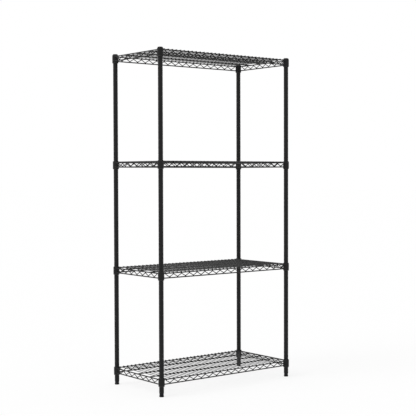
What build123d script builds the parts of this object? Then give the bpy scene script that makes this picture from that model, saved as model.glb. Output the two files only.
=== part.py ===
from build123d import *
import os
from math import asin, atan2, cos, hypot

os.makedirs("parts", exist_ok=True)

# Wire shelving rack, in millimetres. The origin is on the floor at the middle of
# the rack, +X runs along the long side, -Y is the front and +Z is up.

# ---------------------------------------------------------------- overall sizes
post_spacing_x = 886.0  # between post axes, along the long side
post_spacing_y = 424.0  # between post axes, along the short side
rack_height = 1831.0  # floor to the top of the post caps
least_rail_top = 90.0  # the lowest shelf's upper rails are at least this high
groove_pitch = 25.4  # shelves are set in steps of one post groove
shelves = ("bottom", "lower", "upper", "top")

# ---------------------------------------------------------------- posts and caps
post_radius = 12.7
post_wall = 1.2
groove_depth = 0.6
groove_width = 3.0
groove_end_margin = 12.0  # plain tube left at each end of a post
cap_overhang = 1.3  # how far a cap stands out past its post
cap_height = 4.5
cap_edge = 0.5  # upright edge left below the cap's rounding
cap_plug_length = 18.0
cap_plug_wall = 2.0

# ---------------------------------------------------------------- feet
pad_radius = 12.4
pad_height = 7.5
pad_chamfer = 0.8
hexagon_across_flats = 20.0
hexagon_height = 9.7
stud_radius = 5.0
thread_pitch = 1.5
thread_depth = 0.6
stud_length = 30.0  # threaded length above the hexagon
spigot_radius = 4.0
spigot_length = 5.0
insert_length = 22.0
insert_flange_inset = 0.7  # the flange is this much smaller than the post
insert_flange_height = 1.5

# ---------------------------------------------------------------- shelf wires
rail_radius = 3.175
rail_drop = 24.35  # between the axes of an upper and a lower rail
rail_outset = 7.8  # a rail's axis lies this far outside the post axes
zigzag_radius = 2.25
zigzag_bend_radius = 5.0
zigzag_pitch = 52.5  # wanted length of one zigzag wave
zigzag_margin_x = 23.0  # post axis to the first bend, long sides
zigzag_margin_y = 25.0  # post axis to the first bend, short sides
deck_wire_radius = 1.8
deck_wire_inset = 1.0  # deck wires end this far inside the rails' outer sides
stiffener_count = 3

# ---------------------------------------------------------------- corner joints
collar_wall = 1.35  # at the collar's bottom edge, where it is thinnest
collar_above_rail = 3.5  # collar's top edge above the top of the upper rails
collar_below_rail = 4.5  # collar's bottom edge below the lower rails
sleeve_wall_top = 1.75
sleeve_taper = 0.8  # the sleeve is this much thicker at the collar's bottom edge
sleeve_above_collar = 2.0
sleeve_below_collar = 4.0
sleeve_lip = 0.8  # the lower lip stands out this far past the taper
sleeve_slot = 0.8  # gap between the two halves
ridge_clearance = 0.1

# ---------------------------------------------------------------- clearances
seat_gap = 0.3  # between pieces that part when something moves
slip_fit = 0.1  # radial play of pieces pushed into or round a post
running_fit = 0.06  # radial play of the stud's thread and spigot
weld_gap = 0.02  # crossing wires touch to within this

# ---------------------------------------------------------------- derived sizes
corners = {
    "front_left": (-post_spacing_x / 2, -post_spacing_y / 2),
    "front_right": (post_spacing_x / 2, -post_spacing_y / 2),
    "back_left": (-post_spacing_x / 2, post_spacing_y / 2),
    "back_right": (post_spacing_x / 2, post_spacing_y / 2),
}

hexagon_bottom = pad_height + seat_gap
hexagon_top = hexagon_bottom + hexagon_height
insert_bottom = hexagon_top + seat_gap
post_bottom = insert_bottom + insert_flange_height
post_top = rack_height - cap_height
post_bore = post_radius - post_wall
cap_radius = post_radius + cap_overhang
insert_flange_radius = post_radius - insert_flange_inset

# Heights below are measured from the top of a shelf's upper rails.
lower_rail_bottom = -rail_drop - 2 * rail_radius
collar_top = collar_above_rail
collar_bottom = lower_rail_bottom - collar_below_rail
sleeve_top = collar_top + sleeve_above_collar
sleeve_bottom = collar_bottom - sleeve_below_collar
sleeve_middle = (sleeve_top + sleeve_bottom) / 2
sleeve_bore = post_radius + slip_fit
sleeve_top_radius = sleeve_bore + sleeve_wall_top
sleeve_foot_radius = sleeve_top_radius + sleeve_taper
collar_radius = sleeve_foot_radius + seat_gap + collar_wall
deck_wire_height = deck_wire_radius + weld_gap
stiffener_height = -rail_radius

# The top shelf's sleeves end just below the post caps. The others hang whole grooves lower.
top_rail_top = post_top - seat_gap - sleeve_top
groove_steps = int((top_rail_top - least_rail_top) / groove_pitch)
lowest_rail_top = top_rail_top - groove_steps * groove_pitch
rail_tops = {
    shelf: lowest_rail_top + groove_steps * n // (len(shelves) - 1) * groove_pitch
    for n, shelf in enumerate(shelves)
}


def upright(x, y):
    """A plane through a post axis, with its own Y along +Z."""
    return Plane(origin=(x, y, 0), x_dir=(1, 0, 0), z_dir=(0, -1, 0))


def post_axis(x, y):
    """The vertical axis of the post at x, y."""
    return Axis((x, y, 0), (0, 0, 1))


def groove_heights():
    """Heights of the post grooves, in step with the sleeves' inner ridges."""
    reference = lowest_rail_top + sleeve_middle
    lowest = post_bottom + groove_end_margin
    highest = post_top - groove_end_margin
    first = int((lowest - reference) / groove_pitch)
    last = int((highest - reference) / groove_pitch)
    heights = [reference + n * groove_pitch for n in range(first - 1, last + 2)]
    return [height for height in heights if lowest <= height <= highest]


def save(part, name):
    """Label a finished piece and write its STEP file."""
    part.label = name
    export_step(part, f"parts/{name}.step")


# ---------------------------------------------------------------- posts
post_outline = [(post_bore, post_bottom), (post_radius, post_bottom)]
for height in groove_heights():
    post_outline += [
        (post_radius, height - groove_width / 2),
        (post_radius - groove_depth, height - groove_width / 6),
        (post_radius - groove_depth, height + groove_width / 6),
        (post_radius, height + groove_width / 2),
    ]
post_outline += [(post_radius, post_top), (post_bore, post_top)]

for corner, (x, y) in corners.items():
    with BuildPart() as post:
        with BuildSketch(upright(x, y)):
            Polygon(*post_outline, align=None)
        revolve(axis=post_axis(x, y))
    save(post.part, f"post_{corner}")

# ---------------------------------------------------------------- post caps
cap_plug_radius = post_bore - slip_fit
for corner, (x, y) in corners.items():
    with BuildPart() as cap:
        with BuildSketch(upright(x, y)):
            Polygon(
                (0, post_top),
                (cap_plug_radius - cap_plug_wall, post_top),
                (cap_plug_radius - cap_plug_wall, post_top - cap_plug_length),
                (cap_plug_radius, post_top - cap_plug_length),
                (cap_plug_radius, post_top),
                (cap_radius, post_top),
                (cap_radius, rack_height),
                (0, rack_height),
                align=None,
            )
        revolve(axis=post_axis(x, y))
        fillet(cap.edges().filter_by(GeomType.CIRCLE).group_by(Axis.Z)[-1], cap_height - cap_edge)
    save(cap.part, f"post_cap_{corner}")

# ---------------------------------------------------------------- foot inserts
insert_radius = post_bore - slip_fit
thread_bore = stud_radius + running_fit
for corner, (x, y) in corners.items():
    with BuildPart() as insert:
        with BuildSketch(upright(x, y)):
            Polygon(
                (thread_bore, insert_bottom),
                (insert_flange_radius, insert_bottom),
                (insert_flange_radius, post_bottom),
                (insert_radius, post_bottom),
                (insert_radius, post_bottom + insert_length),
                (thread_bore, post_bottom + insert_length),
                align=None,
            )
        revolve(axis=post_axis(x, y))
    save(insert.part, f"foot_insert_{corner}")

# ---------------------------------------------------------------- levelling studs
stud_top = hexagon_top + stud_length
thread_turns = int(stud_length / thread_pitch) - 1
stud_outline = [(0, hexagon_top), (stud_radius, hexagon_top)]
for turn in range(thread_turns):
    crest = hexagon_top + (turn + 1) * thread_pitch
    stud_outline += [
        (stud_radius, crest - thread_pitch / 8),
        (stud_radius - thread_depth, crest + thread_pitch / 4),
        (stud_radius, crest + thread_pitch * 5 / 8),
    ]
stud_outline += [(stud_radius - thread_depth, stud_top), (0, stud_top)]

for corner, (x, y) in corners.items():
    with BuildPart() as stud:
        with BuildSketch(upright(x, y)):
            Polygon(*stud_outline, align=None)
        revolve(axis=post_axis(x, y))
        with BuildSketch(Plane((x, y, hexagon_bottom))):
            RegularPolygon(hexagon_across_flats / 2, 6, major_radius=False)
        extrude(amount=hexagon_height)
        with BuildSketch(Plane((x, y, hexagon_bottom - spigot_length))):
            Circle(spigot_radius)
        extrude(amount=spigot_length)
    save(stud.part, f"foot_stud_{corner}")

# ---------------------------------------------------------------- foot pads
socket_bottom = hexagon_bottom - spigot_length - seat_gap
socket_radius = spigot_radius + running_fit
for corner, (x, y) in corners.items():
    with BuildPart() as pad:
        with BuildSketch(upright(x, y)):
            Polygon(
                (0, 0),
                (pad_radius - pad_chamfer, 0),
                (pad_radius, pad_chamfer),
                (pad_radius, pad_height - pad_chamfer),
                (pad_radius - pad_chamfer, pad_height),
                (socket_radius, pad_height),
                (socket_radius, socket_bottom),
                (0, socket_bottom),
                align=None,
            )
        revolve(axis=post_axis(x, y))
    save(pad.part, f"foot_pad_{corner}")

# ---------------------------------------------------------------- sleeve pairs
ridge_radius = post_radius - groove_depth + ridge_clearance
ridge_half_height = groove_width / 6
ridge_slope = groove_width / 2 - ridge_clearance
for shelf, rail_top in rail_tops.items():
    for corner, (x, y) in corners.items():
        middle = rail_top + sleeve_middle
        with BuildPart() as sleeves:
            with BuildSketch(upright(x, y)):
                Polygon(
                    (sleeve_bore, rail_top + sleeve_bottom),
                    (sleeve_foot_radius + sleeve_lip, rail_top + sleeve_bottom),
                    (sleeve_foot_radius + sleeve_lip, rail_top + collar_bottom - seat_gap),
                    (sleeve_foot_radius, rail_top + collar_bottom - seat_gap),
                    (sleeve_top_radius, rail_top + collar_top),
                    (sleeve_top_radius, rail_top + sleeve_top),
                    (sleeve_bore, rail_top + sleeve_top),
                    (sleeve_bore, middle + ridge_slope),
                    (ridge_radius, middle + ridge_half_height - ridge_clearance),
                    (ridge_radius, middle - ridge_half_height + ridge_clearance),
                    (sleeve_bore, middle - ridge_slope),
                    align=None,
                )
            revolve(axis=post_axis(x, y))
            with BuildSketch(Plane((x, y, rail_top + sleeve_bottom))):
                Rectangle(sleeve_slot, 4 * collar_radius)
            extrude(amount=sleeve_top - sleeve_bottom, mode=Mode.SUBTRACT)
        save(sleeves.part, f"sleeve_pair_{shelf}_{corner}")


# ---------------------------------------------------------------- one shelf's pieces
def zigzag_points(length, wanted_pitch):
    """Corners of a zigzag along its own X, from the first upper bend to the last.

    Heights are from the upper rail's axis. The bends' outer sides touch the rails.
    """
    waves = max(1, round(length / wanted_pitch))
    half_wave = length / waves / 2
    contact = rail_radius + zigzag_radius + weld_gap
    bend_height = rail_drop - 2 * contact
    straight_height = bend_height - 2 * zigzag_bend_radius
    slope = atan2(straight_height, half_wave) + asin(
        2 * zigzag_bend_radius / hypot(half_wave, straight_height)
    )
    corner_rise = zigzag_bend_radius / cos(slope) - zigzag_bend_radius
    high = -contact + corner_rise
    low = -rail_drop + contact - corner_rise
    cut_back = half_wave * corner_rise / (high - low)
    points = [(-length / 2 + n * half_wave, low if n % 2 else high) for n in range(2 * waves + 1)]
    points[0] = (-length / 2 + cut_back, -contact)
    points[-1] = (length / 2 - cut_back, -contact)
    return points


def edge_truss(outward, post_distance, spacing, margin, rail_top):
    """Two rails and a zigzag wire between two posts, on the rack's outward side.

    post_distance is from the rack's middle to the line of these two posts.
    """
    side = Plane(
        origin=Vector(*outward) * (post_distance + rail_outset) + Vector(0, 0, rail_top - rail_radius),
        x_dir=Vector(0, 0, 1).cross(Vector(*outward)),
        z_dir=outward,
    )
    with BuildPart() as truss:
        for height in (0, -rail_drop):
            rail_end = side.from_local_coords((-spacing / 2, height, 0))
            with BuildSketch(Plane(origin=rail_end, z_dir=side.x_dir)):
                Circle(rail_radius)
            extrude(amount=spacing)
        for end in (-1, 1):
            collar_foot = side.from_local_coords(
                (end * spacing / 2, collar_bottom + rail_radius, -rail_outset)
            )
            with BuildSketch(Plane(collar_foot)):
                Circle(collar_radius)
            extrude(amount=collar_top - collar_bottom, mode=Mode.SUBTRACT)
        with BuildLine(side):
            wire_line = FilletPolyline(
                *zigzag_points(spacing - 2 * margin, zigzag_pitch), radius=zigzag_bend_radius
            )
        with BuildSketch(Plane(origin=wire_line @ 0, z_dir=wire_line % 0)):
            Circle(zigzag_radius)
        sweep(path=wire_line)
    return truss.part


deck_span = post_spacing_x - 2 * zigzag_margin_x
deck_wire_count = 2 * max(1, round(deck_span / zigzag_pitch)) + 1
deck_wire_reach = post_spacing_y / 2 + rail_outset + rail_radius - deck_wire_inset
stiffener_spacing = (post_spacing_y + 2 * rail_outset) / (stiffener_count + 1)
stiffener_reach = post_spacing_x / 2 + rail_outset - rail_radius - weld_gap

for shelf, rail_top in rail_tops.items():
    with BuildPart() as collars:
        for x, y in corners.values():
            with BuildSketch(upright(x, y)):
                Polygon(
                    (sleeve_foot_radius + seat_gap, rail_top + collar_bottom),
                    (collar_radius, rail_top + collar_bottom),
                    (collar_radius, rail_top + collar_top),
                    (sleeve_top_radius + seat_gap, rail_top + collar_top),
                    align=None,
                )
            revolve(axis=post_axis(x, y))
    save(collars.part, f"{shelf}_collars")

    for side, outward in {"front": (0, -1, 0), "back": (0, 1, 0)}.items():
        truss = edge_truss(
            outward, post_spacing_y / 2, post_spacing_x, zigzag_margin_x, rail_top
        )
        save(truss, f"{shelf}_{side}_truss")

    left_truss = edge_truss(
        (-1, 0, 0), post_spacing_x / 2, post_spacing_y, zigzag_margin_y, rail_top
    )
    right_truss = edge_truss(
        (1, 0, 0), post_spacing_x / 2, post_spacing_y, zigzag_margin_y, rail_top
    )
    with BuildPart() as side_trusses:
        add(left_truss)
        add(right_truss)
    save(side_trusses.part, f"{shelf}_side_trusses")

    with BuildPart() as deck_wires:
        deck_front = Plane(
            (0, -deck_wire_reach, rail_top + deck_wire_height), x_dir=(1, 0, 0), z_dir=(0, 1, 0)
        )
        with BuildSketch(deck_front):
            with GridLocations(deck_span / (deck_wire_count - 1), 1, deck_wire_count, 1):
                Circle(deck_wire_radius)
        extrude(amount=2 * deck_wire_reach)
    save(deck_wires.part, f"{shelf}_deck_wires")

    with BuildPart() as stiffeners:
        stiffener_end = Plane(
            (-stiffener_reach, 0, rail_top + stiffener_height), x_dir=(0, 1, 0), z_dir=(1, 0, 0)
        )
        with BuildSketch(stiffener_end):
            with GridLocations(stiffener_spacing, 1, stiffener_count, 1):
                Circle(rail_radius)
        extrude(amount=2 * stiffener_reach)
    save(stiffeners.part, f"{shelf}_stiffeners")
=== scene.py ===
"""Finish, welds, levelling feet and studio for a wire shelving rack, around its fixed frame."""

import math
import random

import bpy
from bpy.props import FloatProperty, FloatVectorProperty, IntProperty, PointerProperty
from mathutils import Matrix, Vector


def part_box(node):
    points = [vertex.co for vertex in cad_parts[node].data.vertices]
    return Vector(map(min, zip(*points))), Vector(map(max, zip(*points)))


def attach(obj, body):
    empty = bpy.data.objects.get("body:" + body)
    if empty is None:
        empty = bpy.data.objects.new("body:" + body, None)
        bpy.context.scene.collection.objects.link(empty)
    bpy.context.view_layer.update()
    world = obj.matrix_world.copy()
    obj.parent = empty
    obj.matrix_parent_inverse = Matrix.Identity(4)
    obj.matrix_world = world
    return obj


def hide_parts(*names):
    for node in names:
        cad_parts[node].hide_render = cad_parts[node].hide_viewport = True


bl_info = {
    "name": "Wire Shelving Rack",
    "version": (1, 0, 0),
    "blender": (4, 5, 0),
    "location": "3D View > Sidebar > Rack",
    "description": "Finishes, welds, levelling feet and studio for a wire shelving rack",
    "category": "Object",
}

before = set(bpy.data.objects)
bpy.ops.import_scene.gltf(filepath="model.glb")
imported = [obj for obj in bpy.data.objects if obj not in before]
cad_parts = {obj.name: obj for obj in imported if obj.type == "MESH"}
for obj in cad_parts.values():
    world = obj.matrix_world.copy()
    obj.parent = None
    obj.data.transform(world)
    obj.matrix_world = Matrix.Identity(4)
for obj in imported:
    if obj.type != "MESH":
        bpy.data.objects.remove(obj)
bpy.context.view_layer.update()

SHELVES = ("bottom", "lower", "upper", "top")
CORNERS = ("front_left", "front_right", "back_left", "back_right")
MM = 0.001

DECK_PITCH_GAP = 8 * MM  # vertices further apart than this are on different deck wires
CARRIER_GAP = 12 * MM  # and these on different stiffeners or zigzag bends
BEND_MARGIN = 20 * MM  # no zigzag bend lies nearer to a post's axis
SINK = 0.1 * MM  # how far a weld reaches into what it joins, so no gap shows
DARK_SPECULAR = 0.2  # specular level of the powder coat and of the plastic
PLATE_ROUGHNESS = 0.42
GRAIN_DEPTH = 0.02 * MM
SHADOW_SHARE = 0.24  # how much of the floor's white is light that a shadow can take away
SHADOW_LIFT = 0.92  # keeps the lit floor just below plain white
KEY_DIRECTION = (0.80, -0.10, -0.62)


# ---------------------------------------------------------------- sizes and colours
class RackFinishSettings(bpy.types.PropertyGroup):
    """Colours and textures of the rack's finishes."""

    coat_colour: FloatVectorProperty(
        name="Powder coat", description="Black epoxy powder coat of posts and wires",
        subtype="COLOR", size=4, min=0, max=1, default=(0.0042, 0.0042, 0.0045, 1),
    )
    coat_worn_colour: FloatVectorProperty(
        name="Thin coat", description="Powder coat where it lies thinner",
        subtype="COLOR", size=4, min=0, max=1, default=(0.0080, 0.0079, 0.0077, 1),
    )
    coat_roughness: FloatProperty(
        name="Coat roughness", description="Roughness of the satin powder coat",
        min=0, max=1, default=0.36,
    )
    peel_size: FloatProperty(
        name="Orange peel", description="Size of one dimple of the powder coat",
        unit="LENGTH", min=0.0002, max=0.01, default=0.0014,
    )
    peel_depth: FloatProperty(
        name="Peel depth", description="Depth of the powder coat's dimples",
        unit="LENGTH", min=0, max=0.0005, default=0.00004,
    )
    plastic_colour: FloatVectorProperty(
        name="Moulded plastic", description="Caps, sleeves and foot pads",
        subtype="COLOR", size=4, min=0, max=1, default=(0.0036, 0.0036, 0.0038, 1),
    )
    plastic_roughness: FloatProperty(
        name="Plastic roughness", description="Roughness of the moulded plastic",
        min=0, max=1, default=0.44,
    )
    grain_size: FloatProperty(
        name="Mould grain", description="Size of the spark grain on moulded plastic",
        unit="LENGTH", min=0.0001, max=0.005, default=0.0004,
    )
    dust_colour: FloatVectorProperty(
        name="Dust", description="Fine dust on faces that look up",
        subtype="COLOR", size=4, min=0, max=1, default=(0.16, 0.155, 0.145, 1),
    )
    dust_amount: FloatProperty(
        name="Dust amount", description="How much of an upward face the dust covers",
        min=0, max=1, default=0.05,
    )
    black_zinc_colour: FloatVectorProperty(
        name="Black zinc", description="Plating of the levelling studs and their threaded inserts",
        subtype="COLOR", size=4, min=0, max=1, default=(0.020, 0.020, 0.022, 1),
    )


class RackWeldSettings(bpy.types.PropertyGroup):
    """Sizes of the weld nuggets and fillets on the shelves."""

    nugget_length: FloatProperty(
        name="Nugget length", description="Half length of a crossing's weld along the lower wire",
        unit="LENGTH", min=0.001, max=0.01, default=0.0026,
    )
    nugget_width: FloatProperty(
        name="Nugget width", description="Half width of a crossing's weld along the upper wire",
        unit="LENGTH", min=0.001, max=0.01, default=0.0024,
    )
    nugget_height: FloatProperty(
        name="Nugget height", description="Half height of a crossing's weld",
        unit="LENGTH", min=0.0005, max=0.005, default=0.0011,
    )
    bend_length: FloatProperty(
        name="Bend weld", description="Half length of the weld where a zigzag bend meets a rail",
        unit="LENGTH", min=0.001, max=0.01, default=0.0044,
    )
    fillet_leg: FloatProperty(
        name="Fillet leg", description="Leg of the fillet weld between a rail and a collar",
        unit="LENGTH", min=0.0005, max=0.005, default=0.0019,
    )
    wobble: FloatProperty(
        name="Unevenness", description="How much the welds differ from each other",
        min=0, max=0.5, default=0.16,
    )
    end_dome: FloatProperty(
        name="Wire end", description="Height of the rounded coat on a cut wire end",
        unit="LENGTH", min=0, max=0.002, default=0.0005,
    )
    seed: IntProperty(
        name="Seed", description="Seed of the welds' unevenness", min=0, default=7,
    )


class RackFootSettings(bpy.types.PropertyGroup):
    """Sizes of the levelling studs."""

    thread_pitch: FloatProperty(
        name="Thread pitch", description="Rise of the stud's thread in one turn",
        unit="LENGTH", min=0.0005, max=0.005, default=0.0015,
    )
    thread_depth: FloatProperty(
        name="Thread depth", description="Depth of the stud's thread",
        unit="LENGTH", min=0.0001, max=0.002, default=0.0006,
    )
    thread_radius: FloatProperty(
        name="Thread radius", description="Outer radius of the stud's thread",
        unit="LENGTH", min=0.001, max=0.02, default=0.005,
    )
    spigot_radius: FloatProperty(
        name="Spigot radius", description="Radius of the pin that turns in the foot pad",
        unit="LENGTH", min=0.001, max=0.02, default=0.004,
    )
    spigot_length: FloatProperty(
        name="Spigot length", description="Length of the pin that turns in the foot pad",
        unit="LENGTH", min=0.001, max=0.02, default=0.005,
    )
    hexagon_height: FloatProperty(
        name="Hexagon height", description="Height of the stud's hexagon",
        unit="LENGTH", min=0.002, max=0.03, default=0.0097,
    )


class RackStudioSettings(bpy.types.PropertyGroup):
    """Camera, floor and light."""

    camera_place: FloatVectorProperty(
        name="Camera place", description="Where the camera stands",
        subtype="TRANSLATION", size=3, default=(-3.6089, -4.6107, 1.1646),
    )
    camera_turn: FloatProperty(
        name="Camera turn", description="Turn of the view from the rack's back towards its right",
        subtype="ANGLE", default=math.radians(38.348),
    )
    camera_tilt: FloatProperty(
        name="Camera tilt", description="Tilt of the view above the horizon",
        subtype="ANGLE", default=math.radians(-1.827),
    )
    camera_roll: FloatProperty(
        name="Camera roll", description="Roll of the view about its own axis",
        subtype="ANGLE", default=math.radians(-0.151),
    )
    lens: FloatProperty(
        name="Lens", description="Focal length on a 36 mm wide sensor",
        subtype="DISTANCE_CAMERA", min=10, max=300, default=89.76,
    )
    floor_colour: FloatVectorProperty(
        name="Floor", description="Colour of the pale floor",
        subtype="COLOR", size=4, min=0, max=1, default=(0.82, 0.82, 0.82, 1),
    )
    floor_radius: FloatProperty(
        name="Floor radius", description="Radius of the floor round the rack",
        unit="LENGTH", min=5, max=500, default=80.0,
    )
    sky_light: FloatProperty(
        name="Room light", description="Even light from all round", min=0, max=2, default=0.62,
    )
    key_light: FloatProperty(
        name="Key light", description="Strength of the soft light from the rack's left",
        min=0, max=10, default=1.5,
    )
    key_size: FloatProperty(
        name="Key size", description="How wide the soft light looks from the rack",
        subtype="ANGLE", min=0, max=math.pi, default=math.radians(36),
    )


# ---------------------------------------------------------------- node helpers
def node_group(name, inputs, outputs):
    """An empty shader group with the given sockets, its input node and its output node."""
    group = bpy.data.node_groups.new(name, "ShaderNodeTree")
    for socket, kind, default in inputs:
        made = group.interface.new_socket(socket, in_out="INPUT", socket_type=kind)
        if default is not None:
            made.default_value = default
    for socket, kind in outputs:
        group.interface.new_socket(socket, in_out="OUTPUT", socket_type=kind)
    return group, group.nodes.new("NodeGroupInput"), group.nodes.new("NodeGroupOutput")


def math_node(tree, operation, first, second=None, third=None, clamp=False):
    """A Math node whose inputs are sockets or numbers, and its output."""
    node = tree.nodes.new("ShaderNodeMath")
    node.operation = operation
    node.use_clamp = clamp
    for socket, value in zip(node.inputs, (first, second, third)):
        if isinstance(value, bpy.types.NodeSocket):
            tree.links.new(value, socket)
        elif value is not None:
            socket.default_value = value
    return node.outputs[0]


def mix_colour(tree, factor, first, second):
    """A colour mix whose inputs are sockets or colours, and its output."""
    node = tree.nodes.new("ShaderNodeMix")
    node.data_type = "RGBA"
    sockets = (node.inputs[0], node.inputs[6], node.inputs[7])
    for socket, value in zip(sockets, (factor, first, second)):
        if isinstance(value, bpy.types.NodeSocket):
            tree.links.new(value, socket)
        else:
            socket.default_value = value
    return node.outputs[2]


def mix_shader(tree, factor, first, second):
    """A shader mix and its output."""
    node = tree.nodes.new("ShaderNodeMixShader")
    for socket, value in zip(node.inputs, (factor, first, second)):
        tree.links.new(value, socket)
    return node.outputs[0]


def noise_node(tree, vector, scale, detail=3.0, roughness=0.5):
    """A noise texture and its value."""
    node = tree.nodes.new("ShaderNodeTexNoise")
    node.inputs["Detail"].default_value = detail
    node.inputs["Roughness"].default_value = roughness
    tree.links.new(vector, node.inputs["Vector"])
    if isinstance(scale, bpy.types.NodeSocket):
        tree.links.new(scale, node.inputs["Scale"])
    else:
        node.inputs["Scale"].default_value = scale
    return node.outputs["Fac"]


def object_place(tree):
    """The place on the object, in metres of the rack's own frame."""
    return tree.nodes.new("ShaderNodeTexCoord").outputs["Object"]


# ---------------------------------------------------------------- shared effects
def patchy_tone_group():
    """Two tones of one colour in soft uneven patches, with fine speckle."""
    group, given, out = node_group(
        "Patchy tone",
        [("Main Colour", "NodeSocketColor", None), ("Other Colour", "NodeSocketColor", None),
         ("Patch Size", "NodeSocketFloat", 0.05), ("Speckle", "NodeSocketFloat", 0.3)],
        [("Colour", "NodeSocketColor"), ("Patches", "NodeSocketFloat")],
    )
    place = object_place(group)
    scale = math_node(group, "DIVIDE", 1.0, given.outputs["Patch Size"])
    patches = noise_node(group, place, scale, 4.0, 0.55)
    fine_scale = math_node(group, "MULTIPLY", scale, 34.0)
    fine = noise_node(group, place, fine_scale, 2.0)
    fine = math_node(group, "SUBTRACT", fine, 0.5)
    fine = math_node(group, "MULTIPLY", fine, given.outputs["Speckle"])
    spread = math_node(group, "SUBTRACT", patches, 0.5)
    spread = math_node(group, "MULTIPLY_ADD", spread, 2.4, 0.4)
    mask = math_node(group, "ADD", spread, fine, clamp=True)
    colour = mix_colour(group, mask, given.outputs["Main Colour"], given.outputs["Other Colour"])
    group.links.new(colour, out.inputs["Colour"])
    group.links.new(mask, out.inputs["Patches"])
    return group


def settled_dust_group():
    """How much fine dust lies on a face: more where it looks up, broken into patches."""
    group, given, out = node_group(
        "Settled dust",
        [("Amount", "NodeSocketFloat", 0.1), ("Patch Size", "NodeSocketFloat", 0.03)],
        [("Dust", "NodeSocketFloat")],
    )
    coordinates = group.nodes.new("ShaderNodeTexCoord")
    split = group.nodes.new("ShaderNodeSeparateXYZ")
    group.links.new(coordinates.outputs["Normal"], split.inputs[0])
    upward = math_node(group, "POWER", math_node(group, "MAXIMUM", split.outputs["Z"], 0.0), 2.0)
    scale = math_node(group, "DIVIDE", 1.0, given.outputs["Patch Size"])
    broken = noise_node(group, coordinates.outputs["Object"], scale, 6.0, 0.65)
    broken = math_node(group, "MULTIPLY_ADD", broken, 1.6, 0.2)
    lying = math_node(group, "MULTIPLY", upward, broken)
    lying = math_node(group, "MULTIPLY", lying, given.outputs["Amount"], clamp=True)
    group.links.new(lying, out.inputs["Dust"])
    return group


def dimples_group():
    """Height of shallow round dimples, as on powder coat or cast skin, in metres."""
    group, given, out = node_group(
        "Dimples",
        [("Size", "NodeSocketFloat", 0.001), ("Depth", "NodeSocketFloat", 0.00005)],
        [("Height", "NodeSocketFloat"), ("Level", "NodeSocketFloat")],
    )
    place = object_place(group)
    scale = math_node(group, "DIVIDE", 1.0, given.outputs["Size"])
    broad = noise_node(group, place, scale, 1.0)
    fine = noise_node(group, place, math_node(group, "MULTIPLY", scale, 3.1), 2.0, 0.6)
    level = math_node(group, "MULTIPLY_ADD", fine, 0.25, math_node(group, "MULTIPLY", broad, 0.75))
    height = math_node(group, "MULTIPLY", level, given.outputs["Depth"])
    group.links.new(height, out.inputs["Height"])
    group.links.new(level, out.inputs["Level"])
    return group


def uneven_gloss_group():
    """Roughness that drifts a little round its middle value, with handling marks."""
    group, given, out = node_group(
        "Uneven gloss",
        [("Roughness", "NodeSocketFloat", 0.4), ("Spread", "NodeSocketFloat", 0.08),
         ("Patch Size", "NodeSocketFloat", 0.02)],
        [("Roughness", "NodeSocketFloat")],
    )
    place = object_place(group)
    scale = math_node(group, "DIVIDE", 1.0, given.outputs["Patch Size"])
    drift = noise_node(group, place, scale, 5.0, 0.6)
    drift = math_node(group, "MULTIPLY", math_node(group, "SUBTRACT", drift, 0.5), 2.0)
    made = math_node(
        group, "MULTIPLY_ADD", drift, given.outputs["Spread"], given.outputs["Roughness"],
        clamp=True,
    )
    group.links.new(made, out.inputs["Roughness"])
    return group


EFFECTS = {
    "Patchy tone": patchy_tone_group,
    "Settled dust": settled_dust_group,
    "Dimples": dimples_group,
    "Uneven gloss": uneven_gloss_group,
}


def effect(tree, name, **values):
    """One of the shared effects placed in a material, with its own values."""
    if name not in bpy.data.node_groups:
        EFFECTS[name]()
    node = tree.nodes.new("ShaderNodeGroup")
    node.node_tree = bpy.data.node_groups[name]
    for socket, value in values.items():
        node.inputs[socket.replace("_", " ").title()].default_value = value
    return node.outputs


# ---------------------------------------------------------------- materials
def fresh_material(name):
    """A new material with only its Principled BSDF, and that shader."""
    material = bpy.data.materials.new(name)
    material.use_nodes = True
    return material, material.node_tree, material.node_tree.nodes["Principled BSDF"]


def add_relief(tree, shader, height):
    """A bump from a height in metres."""
    bump = tree.nodes.new("ShaderNodeBump")
    bump.inputs["Strength"].default_value = 1.0
    bump.inputs["Distance"].default_value = 1.0
    tree.links.new(height, bump.inputs["Height"])
    tree.links.new(bump.outputs["Normal"], shader.inputs["Normal"])


def coated_material(name, settings, colour, other, roughness, size, depth, dust_share):
    """A dark skin with patches of tone, dimples, uneven gloss and a little dust."""
    material, tree, shader = fresh_material(name)
    tone = effect(
        tree, "Patchy tone",
        main_colour=colour, other_colour=other, patch_size=45 * MM, speckle=0.5,
    )
    dust = effect(
        tree, "Settled dust", amount=settings.dust_amount * dust_share, patch_size=35 * MM,
    )["Dust"]
    dusty = mix_colour(tree, dust, tone["Colour"], settings.dust_colour)
    tree.links.new(dusty, shader.inputs["Base Color"])
    gloss = effect(tree, "Uneven gloss", roughness=roughness, spread=0.07, patch_size=30 * MM)
    dulled = math_node(tree, "MULTIPLY_ADD", dust, 0.5, gloss["Roughness"], clamp=True)
    tree.links.new(dulled, shader.inputs["Roughness"])
    add_relief(tree, shader, effect(tree, "Dimples", size=size, depth=depth)["Height"])
    return material, shader


def powder_coat(settings):
    """Satin black epoxy powder coat over steel, with its orange peel."""
    material, shader = coated_material(
        "black_powder_coat", settings, settings.coat_colour, settings.coat_worn_colour,
        settings.coat_roughness, settings.peel_size, settings.peel_depth, 1.0,
    )
    shader.inputs["Specular IOR Level"].default_value = DARK_SPECULAR
    return material


def moulded_plastic(settings, name="moulded_plastic", smoother=0.0):
    """Black injection-moulded plastic with a fine spark grain."""
    brighter = [min(1.0, 1.6 * part) for part in settings.plastic_colour[:3]] + [1]
    material, shader = coated_material(
        name, settings, settings.plastic_colour, brighter,
        settings.plastic_roughness - smoother, settings.grain_size, GRAIN_DEPTH, 0.8,
    )
    shader.inputs["Specular IOR Level"].default_value = DARK_SPECULAR
    return material


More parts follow.
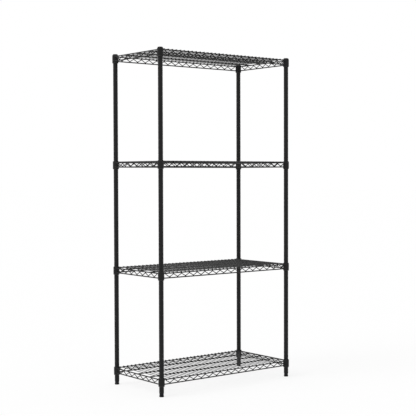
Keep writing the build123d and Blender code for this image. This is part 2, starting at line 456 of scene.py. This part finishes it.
def plated_steel(name, colour, roughness):
    """Zinc plate with passivation patches and fine tumbling marks."""
    material, tree, shader = fresh_material(name)
    cooler = [0.82 * colour[0], 0.86 * colour[1], 0.95 * colour[2], 1]
    tone = effect(
        tree, "Patchy tone",
        main_colour=colour, other_colour=cooler, patch_size=6 * MM, speckle=0.6,
    )
    tree.links.new(tone["Colour"], shader.inputs["Base Color"])
    gloss = effect(tree, "Uneven gloss", roughness=roughness, spread=0.12, patch_size=4 * MM)
    tree.links.new(gloss["Roughness"], shader.inputs["Roughness"])
    add_relief(tree, shader, effect(tree, "Dimples", size=0.7 * MM, depth=0.012 * MM)["Height"])
    shader.inputs["Metallic"].default_value = 0.55
    shader.inputs["Specular IOR Level"].default_value = 0.25
    return material


def finishes(context):
    """The rack's materials by name, made on first use."""
    settings = context.scene.rack_finish
    makers = {
        "black_powder_coat": lambda: powder_coat(settings),
        "moulded_plastic": lambda: moulded_plastic(settings),
        "sleeve_plastic": lambda: moulded_plastic(settings, "sleeve_plastic", 0.08),
        "black_zinc": lambda: plated_steel(
            "black_zinc", settings.black_zinc_colour, PLATE_ROUGHNESS,
        ),
    }
    for name, make in makers.items():
        if name not in bpy.data.materials:
            make()
    return {name: bpy.data.materials[name] for name in makers}


def paint_nodes(names, material):
    """Give CAD nodes a material in their own slots."""
    for name in names:
        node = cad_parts[name]
        if not node.material_slots:
            node.data.materials.append(material)
        for slot in node.material_slots:
            slot.material = material


# ---------------------------------------------------------------- places from the frame
def axis_of_post(corner):
    """Where a post's axis stands, in X and Y."""
    low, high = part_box(f"post_{corner}")
    return (low + high).xy / 2


def runs(values, gap):
    """The middles of the runs of values that lie closer together than gap."""
    ordered = sorted(values)
    starts = [0] + [n for n in range(1, len(ordered)) if ordered[n] - ordered[n - 1] > gap]
    ends = starts[1:] + [len(ordered)]
    return [(ordered[a] + ordered[b - 1]) / 2 for a, b in zip(starts, ends)]


def rail_facts(shelf, side):
    """A truss's rail radius, the two rails' heights and the rails' distance from the middle."""
    node = f"{shelf}_{side}_truss" if side in ("front", "back") else f"{shelf}_side_trusses"
    low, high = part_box(node)
    across = 1 if side in ("front", "back") else 0
    if side in ("front", "back"):
        radius = (high[across] - low[across]) / 2
        distance = (high[across] + low[across]) / 2
    else:
        radius = rail_facts(shelf, "front")[0]
        distance = high[0] - radius if side == "right" else low[0] + radius
    return radius, high.z - radius, low.z + radius, distance


def zigzag_bends(shelf, side, upper):
    """Places along a truss where the zigzag's upper or lower bends meet a rail."""
    node = f"{shelf}_{side}_truss" if side in ("front", "back") else f"{shelf}_side_trusses"
    radius, top, foot, distance = rail_facts(shelf, side)
    along, across = (0, 1) if side in ("front", "back") else (1, 0)
    middle, half = (top + foot) / 2, (top - foot) / 2 - radius
    reach = abs(axis_of_post("front_right")[along]) - BEND_MARGIN
    found = []
    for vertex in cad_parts[node].data.vertices:
        place = vertex.co
        height = place.z - middle
        if abs(place[across] - distance) > radius or abs(place[along]) > reach:
            continue
        if half - 0.4 * MM < (height if upper else -height) < half + 0.1 * MM:
            found.append(place[along])
    return runs(found, CARRIER_GAP)


# ---------------------------------------------------------------- mesh helpers
def add_piece(name, points, faces, body, material):
    """A smooth-shaded mesh piece that rides on a body and takes its finish from a slot."""
    mesh = bpy.data.meshes.new(name)
    mesh.from_pydata([tuple(point) for point in points], [], faces)
    mesh.materials.append(material)
    mesh.polygons.foreach_set("use_smooth", [True] * len(mesh.polygons))
    mesh.update()
    piece = bpy.data.objects.new(name, mesh)
    bpy.context.scene.collection.objects.link(piece)
    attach(piece, body)
    return piece


def ring_faces(first, rings, around, closed_foot=False, closed_top=False):
    """Quads between successive rings of points, and the end faces where asked."""
    faces = []
    for ring in range(rings - 1):
        for step in range(around):
            a = first + ring * around + step
            b = first + ring * around + (step + 1) % around
            faces.append((a, b, b + around, a + around))
    if closed_foot:
        faces.append(tuple(first + step for step in reversed(range(around))))
    if closed_top:
        last = first + (rings - 1) * around
        faces.append(tuple(last + step for step in range(around)))
    return faces


def add_nugget(points, faces, centre, half_sizes, random_source, wobble):
    """A lump of weld: a flattened ball whose size and outline are a little uneven."""
    around, rings = 12, 5
    first = len(points)
    length, width, height = (
        size * random_source.uniform(1 - wobble, 1 + wobble) for size in half_sizes
    )
    phase = random_source.uniform(0, math.tau)
    for ring in range(rings):
        latitude = math.pi * ((ring + 1) / (rings + 1) - 0.5)
        for step in range(around):
            turn = math.tau * step / around
            swell = 1 + 0.5 * wobble * math.sin(3 * turn + phase) * math.cos(latitude)
            points.append(centre + Vector((
                length * swell * math.cos(latitude) * math.cos(turn),
                width * swell * math.cos(latitude) * math.sin(turn),
                height * math.sin(latitude),
            )))
    faces += ring_faces(first, rings, around)
    for pole, ring in ((-1, 0), (1, rings - 1)):
        tip = len(points)
        points.append(centre + Vector((0, 0, pole * height)))
        start = first + ring * around
        for step in range(around):
            edge = (start + step, start + (step + 1) % around)
            faces.append((*edge, tip) if pole > 0 else (edge[1], edge[0], tip))


# ---------------------------------------------------------------- shelf details
def crossing_welds(context, shelf):
    """Nuggets where the deck wires cross the long rails and the stiffeners."""
    welds = context.scene.rack_welds
    source = random.Random(f"{welds.seed} deck {shelf}")
    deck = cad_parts[f"{shelf}_deck_wires"].data.vertices
    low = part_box(f"{shelf}_deck_wires")[0]
    columns = runs([vertex.co.x for vertex in deck], DECK_PITCH_GAP)
    carriers = [rail_facts(shelf, side)[3] for side in ("front", "back")]
    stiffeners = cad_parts[f"{shelf}_stiffeners"].data.vertices
    carriers += runs([vertex.co.y for vertex in stiffeners], CARRIER_GAP)
    sizes = (welds.nugget_length, welds.nugget_width, welds.nugget_height)
    points, faces = [], []
    for x in columns:
        for y in carriers:
            add_nugget(points, faces, Vector((x, y, low.z)), sizes, source, welds.wobble)
    return points, faces


def bend_welds(context, shelf):
    """Nuggets where the zigzag bends meet the rails, on all four sides."""
    welds = context.scene.rack_welds
    source = random.Random(f"{welds.seed} bends {shelf}")
    points, faces = [], []
    for side in ("front", "back", "left", "right"):
        radius, top, foot, distance = rail_facts(shelf, side)
        long_side = side in ("front", "back")
        for upper, height in ((True, top - radius), (False, foot + radius)):
            for along in zigzag_bends(shelf, side, upper):
                place = (along, distance) if long_side else (distance, along)
                centre = Vector((*place, height))
                sizes = (welds.bend_length, 0.85 * radius, welds.nugget_height)
                if not long_side:
                    sizes = (sizes[1], sizes[0], sizes[2])
                add_nugget(points, faces, centre, sizes, source, welds.wobble)
    return points, faces


def stiffener_end_welds(context, shelf):
    """Nuggets where the stiffeners butt against the side rails."""
    welds = context.scene.rack_welds
    source = random.Random(f"{welds.seed} ends {shelf}")
    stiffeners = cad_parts[f"{shelf}_stiffeners"].data.vertices
    radius, top, _, _ = rail_facts(shelf, "right")
    sizes = (0.5 * radius, 1.15 * radius, 1.1 * radius)
    points, faces = [], []
    for side in ("left", "right"):
        distance = rail_facts(shelf, side)[3]
        inward = -math.copysign(radius, distance)
        for y in runs([vertex.co.y for vertex in stiffeners], CARRIER_GAP):
            centre = Vector((distance + 0.9 * inward, y, top))
            add_nugget(points, faces, centre, sizes, source, welds.wobble)
    return points, faces


def collar_fillets(context, shelf):
    """Fillet welds where the rails run into the corner collars."""
    welds = context.scene.rack_welds
    source = random.Random(f"{welds.seed} fillets {shelf}")
    around, steps = 20, 5
    collar_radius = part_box(f"{shelf}_collars")[1].x - axis_of_post("front_right").x
    points, faces = [], []
    for corner in CORNERS:
        post = axis_of_post(corner)
        front_back, left_right = corner.split("_")
        for side in (front_back, left_right):
            radius, top, foot, distance = rail_facts(shelf, side)
            long_side = side in ("front", "back")
            past_x = Vector((math.copysign(1, post.x), 0, 0))
            past_y = Vector((0, math.copysign(1, post.y), 0))
            inward, outward = (-past_x, past_y) if long_side else (-past_y, past_x)
            outset = abs(distance) - abs(post.y if long_side else post.x)
            for height in (top, foot):
                leg = welds.fillet_leg * source.uniform(1 - welds.wobble, 1 + welds.wobble)
                phase = source.uniform(0, math.tau)
                first = len(points)
                for step in range(steps):
                    share = step / (steps - 1)
                    for n in range(around):
                        turn = math.tau * n / around
                        reach = leg * (1 + 0.6 * welds.wobble * math.sin(4 * turn + phase))
                        bow = 0.42 * (1 - share) * share * 2
                        ring = radius - SINK + reach * ((1 - share) ** 2 + bow)
                        sideways = outset + ring * math.cos(turn)
                        meet = math.sqrt(max(collar_radius ** 2 - sideways ** 2, 0)) - SINK
                        ahead = meet + reach * (share ** 2 + bow)
                        points.append(
                            Vector((post.x, post.y, height)) + inward * ahead
                            + outward * sideways + Vector((0, 0, ring * math.sin(turn)))
                        )
                faces += ring_faces(first, steps, around)
    return points, faces


def rounded_wire_ends(context, shelf):
    """The coat's rounded skin over the cut ends of the deck wires."""
    dome = context.scene.rack_welds.end_dome
    around, rings = 14, 4
    low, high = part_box(f"{shelf}_deck_wires")
    radius = (high.z - low.z) / 2
    height = (high.z + low.z) / 2
    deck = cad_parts[f"{shelf}_deck_wires"].data.vertices
    points, faces = [], []
    for x in runs([vertex.co.x for vertex in deck], DECK_PITCH_GAP):
        for end, y in ((-1, low.y), (1, high.y)):
            first = len(points)
            for ring in range(rings):
                rise = math.pi / 2 * ring / rings
                for n in range(around):
                    turn = end * math.tau * n / around
                    points.append(Vector((
                        x - radius * math.cos(rise) * math.cos(turn),
                        y + end * dome * math.sin(rise),
                        height + radius * math.cos(rise) * math.sin(turn),
                    )))
            faces += ring_faces(first, rings, around)
            tip = len(points)
            points.append(Vector((x, y + end * dome, height)))
            start = first + (rings - 1) * around
            faces += [(start + n, start + (n + 1) % around, tip) for n in range(around)]
    return points, faces


# ---------------------------------------------------------------- levelling studs
def stud_mesh(context, corner):
    """A levelling stud: pin, chamfered hexagon and a helical thread."""
    feet = context.scene.rack_feet
    around = 60
    low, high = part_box(f"foot_stud_{corner}")
    centre = (low + high) / 2
    hexagon_low = low.z + feet.spigot_length
    hexagon_high = hexagon_low + feet.hexagon_height
    flat = (high.y - low.y) / 2
    chamfer_circle = 0.94 * flat
    pin_chamfer = 0.4 * MM

    def hexagon_radius(turn):
        return flat / math.cos((turn - math.pi / 6) % (math.pi / 3) - math.pi / 6)

    def hexagon_rim(height, rise):
        return lambda turn: (
            hexagon_radius(turn), height + rise * (hexagon_radius(turn) - chamfer_circle)
        )

    root_radius = feet.thread_radius - feet.thread_depth
    outline = [
        lambda turn: (feet.spigot_radius - pin_chamfer, low.z),
        lambda turn: (feet.spigot_radius, low.z + pin_chamfer),
        lambda turn: (feet.spigot_radius, hexagon_low),
        lambda turn: (chamfer_circle, hexagon_low),
        hexagon_rim(hexagon_low, 0.5),
        hexagon_rim(hexagon_high, -0.5),
        lambda turn: (chamfer_circle, hexagon_high),
        lambda turn: (root_radius, hexagon_high),
    ]
    samples = 8
    shank = high.z - hexagon_high
    count = int(shank / feet.thread_pitch * samples)

    def thread(turn, height):
        phase = (height / feet.thread_pitch - turn / math.tau) % 1
        crest = 1 - min(1.0, abs(phase - 0.5) * 2.6)
        fade = min(1.0, height / feet.thread_pitch, (shank - height) / feet.thread_pitch)
        return root_radius + feet.thread_depth * max(0.0, crest) * fade

    for n in range(1, count + 1):
        rise = shank * n / count
        outline.append(lambda turn, rise=rise: (thread(turn, rise), hexagon_high + rise))
    points = []
    for place in outline:
        for n in range(around):
            turn = math.tau * n / around
            radius, height = place(turn)
            points.append(Vector((
                centre.x + radius * math.cos(turn), centre.y + radius * math.sin(turn), height)))
    return points, ring_faces(0, len(outline), around, closed_foot=True, closed_top=True)


# ---------------------------------------------------------------- operators
def add_shelf_pieces(context, shapes):
    """One coated piece of each kind on each shelf, from the functions that shape them."""
    coat = finishes(context)["black_powder_coat"]
    for shelf in SHELVES:
        for kind, shape in shapes.items():
            points, faces = shape(context, shelf)
            add_piece(f"{shelf}_{kind}", points, faces, f"{shelf}_shelf", coat)


class RACK_OT_finish_posts(bpy.types.Operator):
    """Powder coat the posts and plate the threaded inserts."""

    bl_idname = "rack.finish_posts"
    bl_label = "Finish Posts"

    def execute(self, context):
        skins = finishes(context)
        paint_nodes([f"post_{corner}" for corner in CORNERS], skins["black_powder_coat"])
        paint_nodes([f"foot_insert_{corner}" for corner in CORNERS], skins["black_zinc"])
        return {"FINISHED"}


class RACK_OT_finish_mouldings(bpy.types.Operator):
    """Give the caps, sleeves and foot pads their moulded plastic."""

    bl_idname = "rack.finish_mouldings"
    bl_label = "Finish Mouldings"

    def execute(self, context):
        skins = finishes(context)
        for corner in CORNERS:
            paint_nodes([f"post_cap_{corner}", f"foot_pad_{corner}"], skins["moulded_plastic"])
            sleeves = [f"sleeve_pair_{shelf}_{corner}" for shelf in SHELVES]
            paint_nodes(sleeves, skins["sleeve_plastic"])
        return {"FINISHED"}


class RACK_OT_finish_shelves(bpy.types.Operator):
    """Powder coat the shelves' collars, rails, zigzags, stiffeners and deck wires."""

    bl_idname = "rack.finish_shelves"
    bl_label = "Finish Shelves"

    def execute(self, context):
        coat = finishes(context)["black_powder_coat"]
        for shelf in SHELVES:
            names = [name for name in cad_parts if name.startswith(f"{shelf}_")]
            paint_nodes(names, coat)
        return {"FINISHED"}


class RACK_OT_add_deck_welds(bpy.types.Operator):
    """Add the welds between the deck wires and what carries them."""

    bl_idname = "rack.add_deck_welds"
    bl_label = "Deck Welds"

    def execute(self, context):
        add_shelf_pieces(context, {"deck_welds": crossing_welds})
        return {"FINISHED"}


class RACK_OT_add_truss_welds(bpy.types.Operator):
    """Add the welds between the zigzag wires, the stiffeners and the rails."""

    bl_idname = "rack.add_truss_welds"
    bl_label = "Truss Welds"

    def execute(self, context):
        add_shelf_pieces(
            context, {"bend_welds": bend_welds, "stiffener_welds": stiffener_end_welds},
        )
        return {"FINISHED"}


class RACK_OT_add_collar_welds(bpy.types.Operator):
    """Add the fillet welds between the rails and the corner collars."""

    bl_idname = "rack.add_collar_welds"
    bl_label = "Collar Welds"

    def execute(self, context):
        add_shelf_pieces(context, {"collar_welds": collar_fillets})
        return {"FINISHED"}


class RACK_OT_add_wire_ends(bpy.types.Operator):
    """Add the rounded coat on the deck wires' cut ends."""

    bl_idname = "rack.add_wire_ends"
    bl_label = "Wire Ends"

    def execute(self, context):
        add_shelf_pieces(context, {"wire_ends": rounded_wire_ends})
        return {"FINISHED"}


class RACK_OT_add_levelling_studs(bpy.types.Operator):
    """Add the levelling studs with their helical threads and chamfered hexagons."""

    bl_idname = "rack.add_levelling_studs"
    bl_label = "Levelling Studs"

    def execute(self, context):
        plate = finishes(context)["black_zinc"]
        for corner in CORNERS:
            points, faces = stud_mesh(context, corner)
            stud = add_piece(
                f"levelling_stud_{corner}", points, faces, f"foot_stud_{corner}",
                plate,
            )
            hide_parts(f"foot_stud_{corner}")
        return {"FINISHED"}


class RACK_OT_build_studio(bpy.types.Operator):
    """Set up the floor, the light, the white surround and the camera."""

    bl_idname = "rack.build_studio"
    bl_label = "Studio"

    def execute(self, context):
        studio = context.scene.rack_studio
        lay_floor(studio)
        light_room(context.scene, studio)
        hang_key_light(studio)
        place_camera(context.scene, studio)
        context.scene.view_settings.view_transform = "Standard"
        return {"FINISHED"}


# ---------------------------------------------------------------- studio
def seen_directly(tree):
    """One for camera, glossy and transmission rays, and nought for the light's own rays."""
    path = tree.nodes.new("ShaderNodeLightPath")
    seen = math_node(tree, "MAXIMUM", path.outputs["Is Camera Ray"], path.outputs["Is Glossy Ray"])
    return math_node(tree, "MAXIMUM", seen, path.outputs["Is Transmission Ray"])


def floor_material(studio):
    """A pale floor that shows white with the object's soft shadow, and is clear from below."""
    material = bpy.data.materials.new("pale_floor")
    material.use_nodes = True
    tree = material.node_tree
    tree.nodes.clear()
    out = tree.nodes.new("ShaderNodeOutputMaterial")
    plain = tree.nodes.new("ShaderNodeBsdfDiffuse")
    plain.inputs["Color"].default_value = studio.floor_colour
    shadowed = tree.nodes.new("ShaderNodeBsdfDiffuse")
    shadowed.inputs["Color"].default_value = (SHADOW_SHARE, SHADOW_SHARE, SHADOW_SHARE, 1)
    glow = tree.nodes.new("ShaderNodeEmission")
    glow.inputs["Strength"].default_value = 1.0 - SHADOW_LIFT * SHADOW_SHARE
    shown = tree.nodes.new("ShaderNodeAddShader")
    tree.links.new(shadowed.outputs[0], shown.inputs[0])
    tree.links.new(glow.outputs[0], shown.inputs[1])
    floor = mix_shader(tree, seen_directly(tree), plain.outputs[0], shown.outputs[0])
    face = tree.nodes.new("ShaderNodeNewGeometry")
    path = tree.nodes.new("ShaderNodeLightPath")
    from_below = math_node(
        tree, "MULTIPLY", face.outputs["Backfacing"], path.outputs["Is Camera Ray"],
    )
    clear = tree.nodes.new("ShaderNodeBsdfTransparent")
    surface = mix_shader(tree, from_below, floor, clear.outputs[0])
    tree.links.new(surface, out.inputs["Surface"])
    return material


def lay_floor(studio):
    """A round floor under the rack."""
    around = 96
    points = [
        (studio.floor_radius * math.cos(math.tau * n / around),
         studio.floor_radius * math.sin(math.tau * n / around), 0)
        for n in range(around)
    ]
    mesh = bpy.data.meshes.new("studio_floor")
    mesh.from_pydata(points, [], [tuple(range(around))])
    mesh.materials.append(floor_material(studio))
    floor = bpy.data.objects.new("studio_floor", mesh)
    bpy.context.scene.collection.objects.link(floor)


def light_room(scene, studio):
    """Even room light, and a white surround where it is seen."""
    world = bpy.data.worlds.new("white_room")
    world.use_nodes = True
    tree = world.node_tree
    tree.nodes.clear()
    out = tree.nodes.new("ShaderNodeOutputWorld")
    lighting = tree.nodes.new("ShaderNodeBackground")
    lighting.inputs["Strength"].default_value = studio.sky_light
    surround = tree.nodes.new("ShaderNodeBackground")
    for background in (lighting, surround):
        background.inputs["Color"].default_value = (1, 1, 1, 1)
    room = mix_shader(tree, seen_directly(tree), lighting.outputs[0], surround.outputs[0])
    tree.links.new(room, out.inputs["Surface"])
    scene.world = world


def hang_key_light(studio):
    """A wide soft light, high on the rack's left."""
    lamp = bpy.data.lights.new("key_light", "SUN")
    lamp.energy = studio.key_light
    lamp.angle = studio.key_size
    key = bpy.data.objects.new("key_light", lamp)
    key.rotation_euler = Vector(KEY_DIRECTION).to_track_quat("-Z", "Y").to_euler()
    bpy.context.scene.collection.objects.link(key)


def place_camera(scene, studio):
    """The camera, from its place, turn, tilt and roll."""
    data = bpy.data.cameras.new("rack_camera")
    data.sensor_width = 36.0
    data.lens = studio.lens
    data.clip_start = 0.1
    data.clip_end = 500.0
    camera = bpy.data.objects.new("rack_camera", data)
    turn, tilt, roll = studio.camera_turn, studio.camera_tilt, studio.camera_roll
    level_share = math.cos(tilt)
    ahead = Vector((math.sin(turn) * level_share, math.cos(turn) * level_share, math.sin(tilt)))
    level = Vector((math.cos(turn), -math.sin(turn), 0))
    raised = level.cross(ahead)
    right = level * math.cos(roll) + raised * math.sin(roll)
    up = raised * math.cos(roll) - level * math.sin(roll)
    facing = Matrix((right, up, -ahead)).transposed().to_4x4()
    camera.matrix_world = Matrix.Translation(studio.camera_place) @ facing
    scene.collection.objects.link(camera)
    scene.camera = camera


# ---------------------------------------------------------------- panel and registration
OPERATORS = (
    RACK_OT_finish_posts,
    RACK_OT_finish_mouldings,
    RACK_OT_finish_shelves,
    RACK_OT_add_deck_welds,
    RACK_OT_add_truss_welds,
    RACK_OT_add_collar_welds,
    RACK_OT_add_wire_ends,
    RACK_OT_add_levelling_studs,
    RACK_OT_build_studio,
)


class RACK_PT_build(bpy.types.Panel):
    """Lists the rack's building steps."""

    bl_label = "Wire Shelving Rack"
    bl_idname = "RACK_PT_build"
    bl_space_type = "VIEW_3D"
    bl_region_type = "UI"
    bl_category = "Rack"

    def draw(self, context):
        for operator in OPERATORS:
            self.layout.operator(operator.bl_idname)


SETTINGS = {
    "rack_finish": RackFinishSettings,
    "rack_welds": RackWeldSettings,
    "rack_feet": RackFootSettings,
    "rack_studio": RackStudioSettings,
}


def register():
    for cls in (*SETTINGS.values(), *OPERATORS, RACK_PT_build):
        bpy.utils.register_class(cls)
    for name, cls in SETTINGS.items():
        setattr(bpy.types.Scene, name, PointerProperty(type=cls))


def unregister():
    for name in SETTINGS:
        delattr(bpy.types.Scene, name)
    for cls in reversed((*SETTINGS.values(), *OPERATORS, RACK_PT_build)):
        bpy.utils.unregister_class(cls)


def main():
    """Build everything in order."""
    register()
    for operator in OPERATORS:
        group, name = operator.bl_idname.split(".")
        getattr(getattr(bpy.ops, group), name)()


if __name__ == "__main__":
    main()
